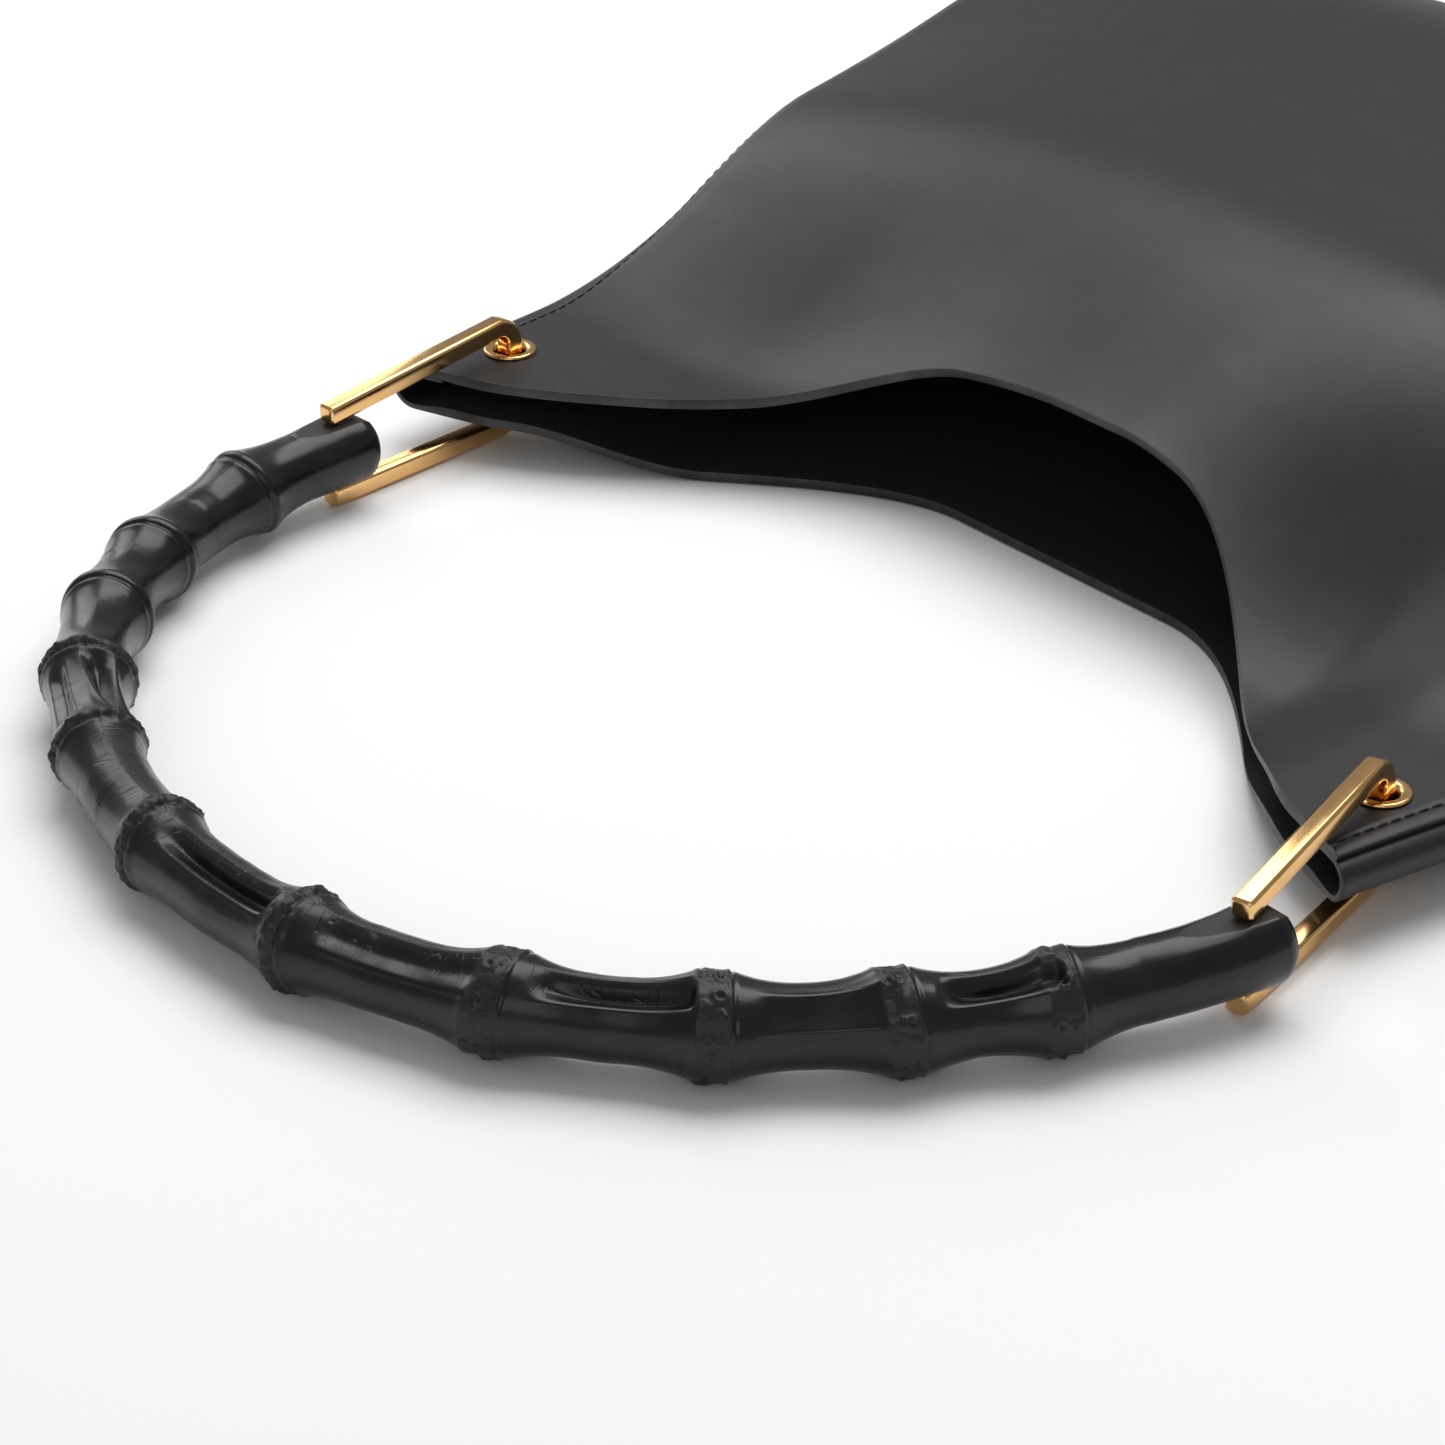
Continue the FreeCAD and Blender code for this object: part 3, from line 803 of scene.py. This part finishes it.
def arch(deg):
    a = math.radians(deg)
    near = min(deg, 180 - deg) - PIN_DEG
    uneven = ARCH_WOBBLE * math.sin(2 * a) + ARCH_RIPPLE * math.sin(4 * a)
    r = ARCH_R + uneven * smooth(near / ARCH_SETTLE_DEG)
    z = TABLE_Z + REST_R + (END_Z - TABLE_Z - REST_R) * (1 - smooth(near / END_RISE_DEG))
    flat = ARCH_MID - ACROSS * (r * math.cos(a)) - INWARD * (r * math.sin(a))
    return Vector((flat.x, flat.y, z))


def bump_at(d, centre, width):
    return np.exp(-((d - centre) / width) ** 2)


def smooth_all(x):
    x = np.clip(x, 0, 1)
    return x * x * (3 - 2 * x)


TURN = np.linspace(0, 2 * np.pi, AROUND, endpoint=False)


def rough_noise(centre, beside, upward, radius, size, seed):
    values = np.empty(AROUND)
    for j, a in enumerate(TURN):
        p = centre + (upward * math.cos(a) + beside * math.sin(a)) * radius
        values[j] = noise.fractal(Vector((p.x / size + seed, p.y / size, p.z / size)), 0.7, 2.0, 3)
    return values


def cane_section(deg, centre, beside, upward):
    """Radius of the cane round one section, with its rings, scars and hollows."""
    near_end = min(deg - START_DEG, STOP_DEG - deg) * PER_DEG
    plain = CULM_R + (END_R - CULM_R) * (1 - smooth(near_end / END_TAPER))
    radius = np.full(AROUND, plain)
    scar = np.zeros(AROUND)
    low_noise = rough_noise(centre, beside, upward, CULM_R, 0.016, 5.0)
    radius += 0.00018 * low_noise
    for i, (place, top, kind) in enumerate(zip(NODE_DEG, NODE_R, NODE_KIND)):
        d0 = (deg - place) * PER_DEG
        if abs(d0) > FLARE_L + 0.008:
            continue
        skew = 0.0011 * np.cos(TURN - 1.7 * i)
        d = d0 - skew
        before = 0.0058 if kind == "rooted" else 0.0016
        gap = np.where(d < 0, np.maximum(0, -d - before), np.maximum(0, d - 0.0006))
        flare = np.clip(1 - gap / FLARE_L, 0, 1) ** 2.3
        lift = (top - plain) * flare
        if kind == "plain":
            lift += 0.00022 * bump_at(d, -0.0007, 0.0008) - 0.00050 * bump_at(d, 0.0010, 0.00045)
            lift += 0.00015 * bump_at(d, 0.0023, 0.0008)
        elif kind == "rough":
            ragged = rough_noise(centre, beside, upward, NODE_R[i], 0.0022, 11.0 + i)
            lift += bump_at(d, -0.0002, 0.0024) * 0.00058 * ragged
            lift += (0.00030 * bump_at(d, -0.0011, 0.0008)
                     - 0.00075 * bump_at(d, 0.0008 + 0.0003 * ragged, 0.0005))
            lift += 0.00018 * bump_at(d, 0.0022, 0.0007)
            scar = np.maximum(scar, bump_at(d, 0.0002, 0.0022))
        else:
            ragged = rough_noise(centre, beside, upward, NODE_R[i], 0.0026, 23.0 + i)
            band = smooth_all((d + 0.0064) / 0.0012) * (1 - smooth_all((d + 0.0002) / 0.0008))
            lift += band * 0.00024 * ragged - 0.00035 * bump_at(d, 0.0008, 0.00035)
            lift += 0.00022 * bump_at(d, 0.0001, 0.00035) + 0.00012 * bump_at(d, -0.0062, 0.0006)
            for n in range(15):
                spot_turn = 2 * math.pi * n / 15 + 0.45 * math.sin(3.1 * n + i)
                spot_d = -0.0030 + 0.0014 * math.sin(2.3 * n + 1.7 * i)
                size = 0.00105 + 0.00035 * math.sin(5.3 * n + i)
                arc = (TURN - spot_turn + np.pi) % (2 * np.pi) - np.pi
                away = np.hypot(arc * top, d - spot_d) / size
                lift += 0.00042 * np.exp(-((away - 0.75) / 0.42) ** 2) - 0.00040 * np.exp(-(away / 0.42) ** 2)
            scar = np.maximum(scar, 0.75 * band)
        radius = np.maximum(radius, plain + lift - 0.0012 * (1 - flare))
        inside = flare > 0
        radius = np.where(inside, plain + lift, radius)
    crazed = 0.0
    for first, begin, end, turn_a, turn_b, wide, deep, slot in HOLLOWS:
        a, b = NODE_DEG[first - 1], NODE_DEG[first]
        share = (deg - a) / (b - a)
        if not begin - 0.02 < share < end + 0.02:
            continue
        t = (share - begin) / (end - begin)
        turn = math.radians(turn_a + (turn_b - turn_a) * t)
        arc = np.degrees((TURN - turn + np.pi) % (2 * np.pi) - np.pi)
        ends = smooth(t / 0.22) * smooth((1 - t) / 0.07)
        valley = np.cos(np.clip(arc / wide, -1, 1) * np.pi / 2) ** 1.6
        radius -= deep * ends * valley
        narrow = np.cos(np.clip((arc - 3) / (wide * 0.68), -1, 1) * np.pi / 2) ** 1.3
        radius -= slot * 0.6 * smooth(t / 0.45) * smooth((1 - t) / 0.05) * narrow
        lip = bump_at(arc, -wide * 0.95, 5.0) + bump_at(arc, wide * 0.95, 5.0)
        radius += 0.00025 * ends * lip
    for first, amount in ((5, 0.45), (6, 1.0), (7, 1.0), (8, 0.55)):
        share = (deg - NODE_DEG[first - 1]) / (NODE_DEG[first] - NODE_DEG[first - 1])
        crazed = max(crazed, amount * smooth(share / 0.15) * smooth((1 - share) / 0.15))
    outer_side = smooth_all(0.55 + 0.9 * np.cos(TURN + math.pi / 2 - 0.35))
    return radius, scar, crazed * outer_side


def seat_cut(centre, ray, reach):
    """Shortens a ray from the cane's middle where a link's arm has its carved seat."""
    half_gap = LINK_TIP_H / 2 - BAR / 2 - SADDLE_CLEAR
    for side in ("left", "right"):
        pin = pin_at[side]
        if (Vector((centre.x, centre.y, 0)) - pin).length > 0.03:
            continue
        for sign in (-1, 1):
            axis_z = END_Z + sign * (half_gap + SADDLE_R)
            dy = centre.y - pin.y
            dz = centre.z - axis_z
            a = ray.y * ray.y + ray.z * ray.z
            b = 2 * (dy * ray.y + dz * ray.z)
            c = dy * dy + dz * dz - SADDLE_R * SADDLE_R
            inside = b * b - 4 * a * c
            if a > 1e-9 and inside > 0 and sign * ray.z > 0:
                first = (-b - math.sqrt(inside)) / (2 * a)
                if first > 0:
                    reach = min(reach, first)
            if sign * ray.z > 0.05:
                past_tip = max(0.0, (Vector((centre.x, centre.y, 0)) - pin).length - LINK_TIP - 0.0015)
                scooped = (half_gap + past_tip * past_tip / (2 * SCOOP_R[side])) / abs(ray.z)
                reach = min(reach, scooped)
    return reach


def cane_stations():
    marks = []
    deg = START_DEG + END_DOME / PER_DEG
    last = STOP_DEG - END_DOME / PER_DEG
    while deg < last:
        marks.append(deg)
        off = min(abs(deg - n) * PER_DEG for n in NODE_DEG)
        close = min(deg - START_DEG, STOP_DEG - deg) * PER_DEG
        if off < 0.008:
            step = 0.00036
        elif close < 0.024:
            step = 0.00055
        else:
            step = 0.0008
        deg += step / PER_DEG
    return marks + [last]


def lacquered_cane():
    """Black lacquer over root cane: deep gloss, dull in the scars, crazed by fine cracks across."""
    mat, shader = finish_named("lacquered_cane", Specular_IOR_Level=0.3, Coat_Weight=0.16,
                               Coat_Roughness=0.16)
    place = add(mat, "Attribute", {"attribute_name": "cane_place"}).outputs["Vector"]
    scar = add(mat, "Attribute", {"attribute_name": "scar"}).outputs["Fac"]
    crazed = add(mat, "Attribute", {"attribute_name": "crazed"}).outputs["Fac"]
    carved = add(mat, "Attribute", {"attribute_name": "carved"}).outputs["Fac"]
    fibre_place = add(mat, "Mapping", Vector=place, Scale=(40.0, 900.0, 1.0)).outputs[0]
    fibre = add(mat, "TexNoise", Vector=fibre_place, Scale=1.0, Detail=4.0, Roughness=0.6).outputs[0]
    cloud = add(mat, "TexNoise", Vector=place, Scale=90.0, Detail=4.0, Roughness=0.6).outputs[0]
    pits = add(mat, "TexNoise", Vector=place, Scale=1300.0, Detail=4.0, Roughness=0.7).outputs[0]
    wander = add(mat, "TexNoise", Vector=place, Scale=420.0, Detail=3.0, Roughness=0.6).outputs["Color"]
    wander = add(mat, "VectorMath", {"operation": "SCALE"}, n0=wander, Scale=0.0011).outputs[0]
    bent = add(mat, "VectorMath", {"operation": "ADD"}, n0=place, n1=wander).outputs[0]
    crack_place = add(mat, "Mapping", Vector=bent, Scale=(520.0, 150.0, 1.0)).outputs[0]
    cells = add(mat, "TexVoronoi", {"feature": "DISTANCE_TO_EDGE"}, Vector=crack_place, Scale=1.0,
                Randomness=0.9)
    line = ramp(mat, cells.outputs[0], 0.0, 0.055, 1.0, 0.0)
    broken = ramp(mat, cloud, 0.44, 0.56, 0.0, 1.0)
    crack = add(mat, "Math", {"operation": "MULTIPLY"}, n0=line, n1=broken).outputs[0]
    crack = add(mat, "Math", {"operation": "MULTIPLY"}, n0=crack, n1=crazed).outputs[0]
    tint = blend_colours(mat, ramp(mat, cloud, 0.35, 0.7, 0.0, 1.0), (0.0040, 0.0040, 0.0042),
                         (0.0085, 0.0085, 0.0088))
    dusty = add(mat, "Mix", {"data_type": "RGBA"}, n0=ramp(mat, scar, 0.2, 1.0, 0.0, 0.55), n6=tint)
    dusty.inputs[7].default_value = (0.017, 0.017, 0.0165, 1)
    cut = add(mat, "Mix", {"data_type": "RGBA"}, n0=carved, n6=dusty.outputs[2])
    cut.inputs[7].default_value = (0.024, 0.024, 0.026, 1)
    split = add(mat, "Mix", {"data_type": "RGBA"}, n0=ramp(mat, crack, 0.3, 1.0, 0.0, 0.6), n6=cut.outputs[2])
    split.inputs[7].default_value = (0.030, 0.026, 0.019, 1)
    rough = ramp(mat, cloud, 0.3, 0.7, 0.20, 0.33)
    dull = add(mat, "Math", {"operation": "MULTIPLY_ADD"}, n0=scar, n1=0.20, n2=rough).outputs[0]
    dull = add(mat, "Math", {"operation": "MULTIPLY_ADD"}, n0=crazed, n1=0.10, n2=dull).outputs[0]
    dull = add(mat, "Math", {"operation": "MULTIPLY_ADD"}, n0=carved, n1=0.25, n2=dull).outputs[0]
    bump = add(mat, "Bump", Strength=0.16, Distance=0.0003, Height=fibre)
    pit_depth = add(mat, "Math", {"operation": "MULTIPLY"}, n0=pits, n1=scar).outputs[0]
    bump = add(mat, "Bump", Strength=0.8, Distance=0.0004, Height=pit_depth, Normal=bump.outputs[0])
    bump = add(mat, "Bump", {"invert": True}, Strength=0.8, Distance=0.0003, Height=crack,
               Normal=bump.outputs[0])
    feed(mat, shader, Base_Color=split.outputs[2], Roughness=dull, Normal=bump.outputs[0])
    return mat


def cane():
    marks = cane_stations()
    points = []
    places = []
    scars = []
    crazes = []
    carves = []
    dome_steps = 8
    sections = [(marks[0], math.sin(math.pi / 2 * i / dome_steps), -1) for i in range(1, dome_steps)]
    sections += [(deg, 1.0, 0) for deg in marks]
    sections += [(marks[-1], math.sin(math.pi / 2 * i / dome_steps), 1) for i in range(dome_steps - 1, 0, -1)]
    for deg, size, dome in sections:
        centre = arch(deg)
        ahead = (arch(deg + 0.1) - arch(deg - 0.1)).normalized()
        upward = (Vector((0, 0, 1)) - ahead * ahead.z).normalized()
        beside = ahead.cross(upward)
        radius, scar, crazed = cane_section(deg, centre, beside, upward)
        pushed = centre + ahead * (dome * END_DOME * math.sqrt(max(0.0, 1 - size * size)))
        for j, a in enumerate(TURN):
            ray = upward * math.cos(a) + beside * math.sin(a)
            whole = radius[j]
            kept = seat_cut(centre, ray, whole)
            points.append(pushed + ray * (kept * size))
            places.append((deg * PER_DEG, a * CULM_R, 0.0))
            scars.append(scar[j])
            crazes.append(crazed[j])
            carves.append(1.0 if kept < whole - 0.00002 or (dome and size < 0.9) else 0.0)
    count = len(sections)
    faces = []
    for i in range(count - 1):
        for j in range(AROUND):
            a = i * AROUND + j
            b = i * AROUND + (j + 1) % AROUND
            faces.append((a, b, b + AROUND, a + AROUND))
    for ring, turned_round in ((0, True), (count - 1, False)):
        hub = len(points)
        points.append(sum((points[ring * AROUND + j] for j in range(AROUND)), Vector()) / AROUND)
        places.append((places[ring * AROUND][0], 0.0, 0.0))
        scars.append(0.0)
        crazes.append(0.0)
        carves.append(1.0)
        for j in range(AROUND):
            a = ring * AROUND + j
            b = ring * AROUND + (j + 1) % AROUND
            faces.append((hub, b, a) if turned_round else (hub, a, b))
    mesh = bpy.data.meshes.new("root_cane")
    mesh.from_pydata([tuple(p) for p in points], [], faces)
    for name, kind, values in (("cane_place", "FLOAT_VECTOR", places), ("scar", "FLOAT", scars),
                               ("crazed", "FLOAT", crazes), ("carved", "FLOAT", carves)):
        layer = mesh.attributes.new(name, kind, "POINT")
        field = "vector" if kind == "FLOAT_VECTOR" else "value"
        layer.data.foreach_set(field, np.array(values, np.float32).ravel())
    shape = bmesh.new()
    shape.from_mesh(mesh)
    bmesh.ops.recalc_face_normals(shape, faces=shape.faces)
    shape.to_mesh(mesh)
    shape.free()
    mesh.shade_smooth()
    piece = bpy.data.objects.new("root_cane", mesh)
    bpy.context.scene.collection.objects.link(piece)
    piece.data.materials.append(lacquered_cane())
    return piece


handle = cane()
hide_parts("bamboo_handle")
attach(handle, "handle")


# ---- mouth patch ----
# A thin patch of smooth leather, die-cut and eased at its edges. It is glued to the inside of the front,
# just under the middle of the mouth's edge, where the edge takes the pull of the hand.
PATCH_HALF_W = 0.030
PATCH_X = 0.018
PATCH_L = 0.040
PATCH_T = 0.0012
PATCH_GLUE = 0.0003
PATCH_FROM_EDGE = 0.003
PATCH_EASE = 0.0003


def patch_leather():
    mat, shader = finish_named("patch_leather", Specular_IOR_Level=0.3)
    place = add(mat, "TexCoord").outputs["Object"]
    pores = add(mat, "TexVoronoi", {"feature": "DISTANCE_TO_EDGE"}, Vector=place, Scale=1500.0).outputs[0]
    cloud = add(mat, "TexNoise", Vector=place, Scale=60.0, Detail=4.0, Roughness=0.6).outputs[0]
    tint = blend_colours(mat, ramp(mat, cloud, 0.3, 0.7, 0.0, 1.0), (0.030, 0.030, 0.031),
                         (0.045, 0.045, 0.046))
    rough = ramp(mat, cloud, 0.3, 0.7, 0.52, 0.66)
    grain = add(mat, "Bump", Strength=0.3, Distance=0.0002, Height=pores)
    feed(mat, shader, Base_Color=tint, Roughness=rough, Normal=grain.outputs[0])
    return mat


patch_rows = []
for i in range(25):
    y = MOUTH_DIP_Y + PATCH_FROM_EDGE + PATCH_L * i / 24
    fold = side_fold(y)
    row = []
    for j in range(41):
        x = PATCH_X + PATCH_HALF_W * (j / 20 - 1)
        swell = 0.0004 * crease((x, y, 0), 0.055, 3.0) * smooth((y - MOUTH_DIP_Y) / 0.03)
        row.append(at(x, y, front_height(x, y, fold) + swell))
    patch_rows.append(row)
outside = np.array(patch_rows)
inward = np.cross(np.gradient(outside, axis=0), np.gradient(outside, axis=1))
inward /= np.linalg.norm(inward, axis=2)[..., None]
inward *= -np.sign(inward[..., 2:3])
patch_rows = (outside + inward * (LEATHER_T + PATCH_GLUE)).tolist()
patch = leather_sheet("mouth_patch_leather", patch_rows, np.full(outside.shape[:2], PATCH_T), -1)
ease_edges(patch, PATCH_EASE)
PATCH = patch_leather()
for mat in (PATCH, PATCH, EDGE):
    patch.data.materials.append(mat)
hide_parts("mouth_patch")
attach(patch, "bag")


# ---- floor, light and camera ----
# A plain white table in a softly lit studio: a wide light overhead, a smaller one from the left and a
# weak one in front.
def paper_white():
    mat, shader = finish_named("paper_white", Specular_IOR_Level=0.0)
    place = add(mat, "TexCoord").outputs["Object"]
    cloud = add(mat, "TexNoise", Vector=place, Scale=3.0, Detail=2.0).outputs[0]
    tint = blend_colours(mat, cloud, (0.975, 0.975, 0.975), (0.985, 0.985, 0.985))
    feed(mat, shader, Base_Color=tint)
    shader.inputs["Roughness"].default_value = 1.0
    return mat


floor_mesh = bpy.data.meshes.new("floor")
FLOOR_HALF = 6.0
floor_mesh.from_pydata([(-FLOOR_HALF, -FLOOR_HALF, 0), (FLOOR_HALF, -FLOOR_HALF, 0),
                        (FLOOR_HALF, FLOOR_HALF, 0),
                        (-FLOOR_HALF, FLOOR_HALF, 0)], [], [(0, 1, 2, 3)])
floor = bpy.data.objects.new("floor", floor_mesh)
floor.location.z = cad_box[0].z - 0.0001
bpy.context.scene.collection.objects.link(floor)
floor.data.materials.append(paper_white())

world = bpy.data.worlds.new("studio")
world.use_nodes = True
world.node_tree.nodes["Background"].inputs["Color"].default_value = (1.0, 1.0, 1.0, 1)
world.node_tree.nodes["Background"].inputs["Strength"].default_value = 0.30
bpy.context.scene.world = world


def soft_light(name, place, target, size, power):
    data = bpy.data.lights.new(name, "AREA")
    data.shape = "RECTANGLE"
    data.size = size[0]
    data.size_y = size[1]
    data.energy = power
    lamp = bpy.data.objects.new(name, data)
    lamp.location = place
    lamp.rotation_euler = (Vector(target) - Vector(place)).to_track_quat("-Z", "Y").to_euler()
    bpy.context.scene.collection.objects.link(lamp)


soft_light("overhead", (-0.3, 0.5, 1.5), (0.0, 0.0, 0.0), (1.6, 1.2), 24.0)
soft_light("left_side", (-1.5, 0.2, 0.7), (0.0, 0.0, 0.0), (0.8, 0.8), 4.0)
soft_light("front_fill", (1.2, -1.3, 0.9), (0.0, 0.0, 0.0), (1.0, 0.8), 3.0)

LENS_MM = 112.42215
SENSOR_MM = 36.0
camera_data = bpy.data.cameras.new("camera")
camera_data.sensor_width = SENSOR_MM
camera_data.lens = LENS_MM
camera_data.clip_end = 50.0
camera = bpy.data.objects.new("camera", camera_data)
camera.location = at(0.63471, -0.58145, 0.44535)
camera.rotation_euler = (math.radians(90 - 28.505), 0.0, math.radians(50.065))
bpy.context.scene.collection.objects.link(camera)
bpy.context.scene.camera = camera
bpy.context.scene.view_settings.view_transform = "Standard"
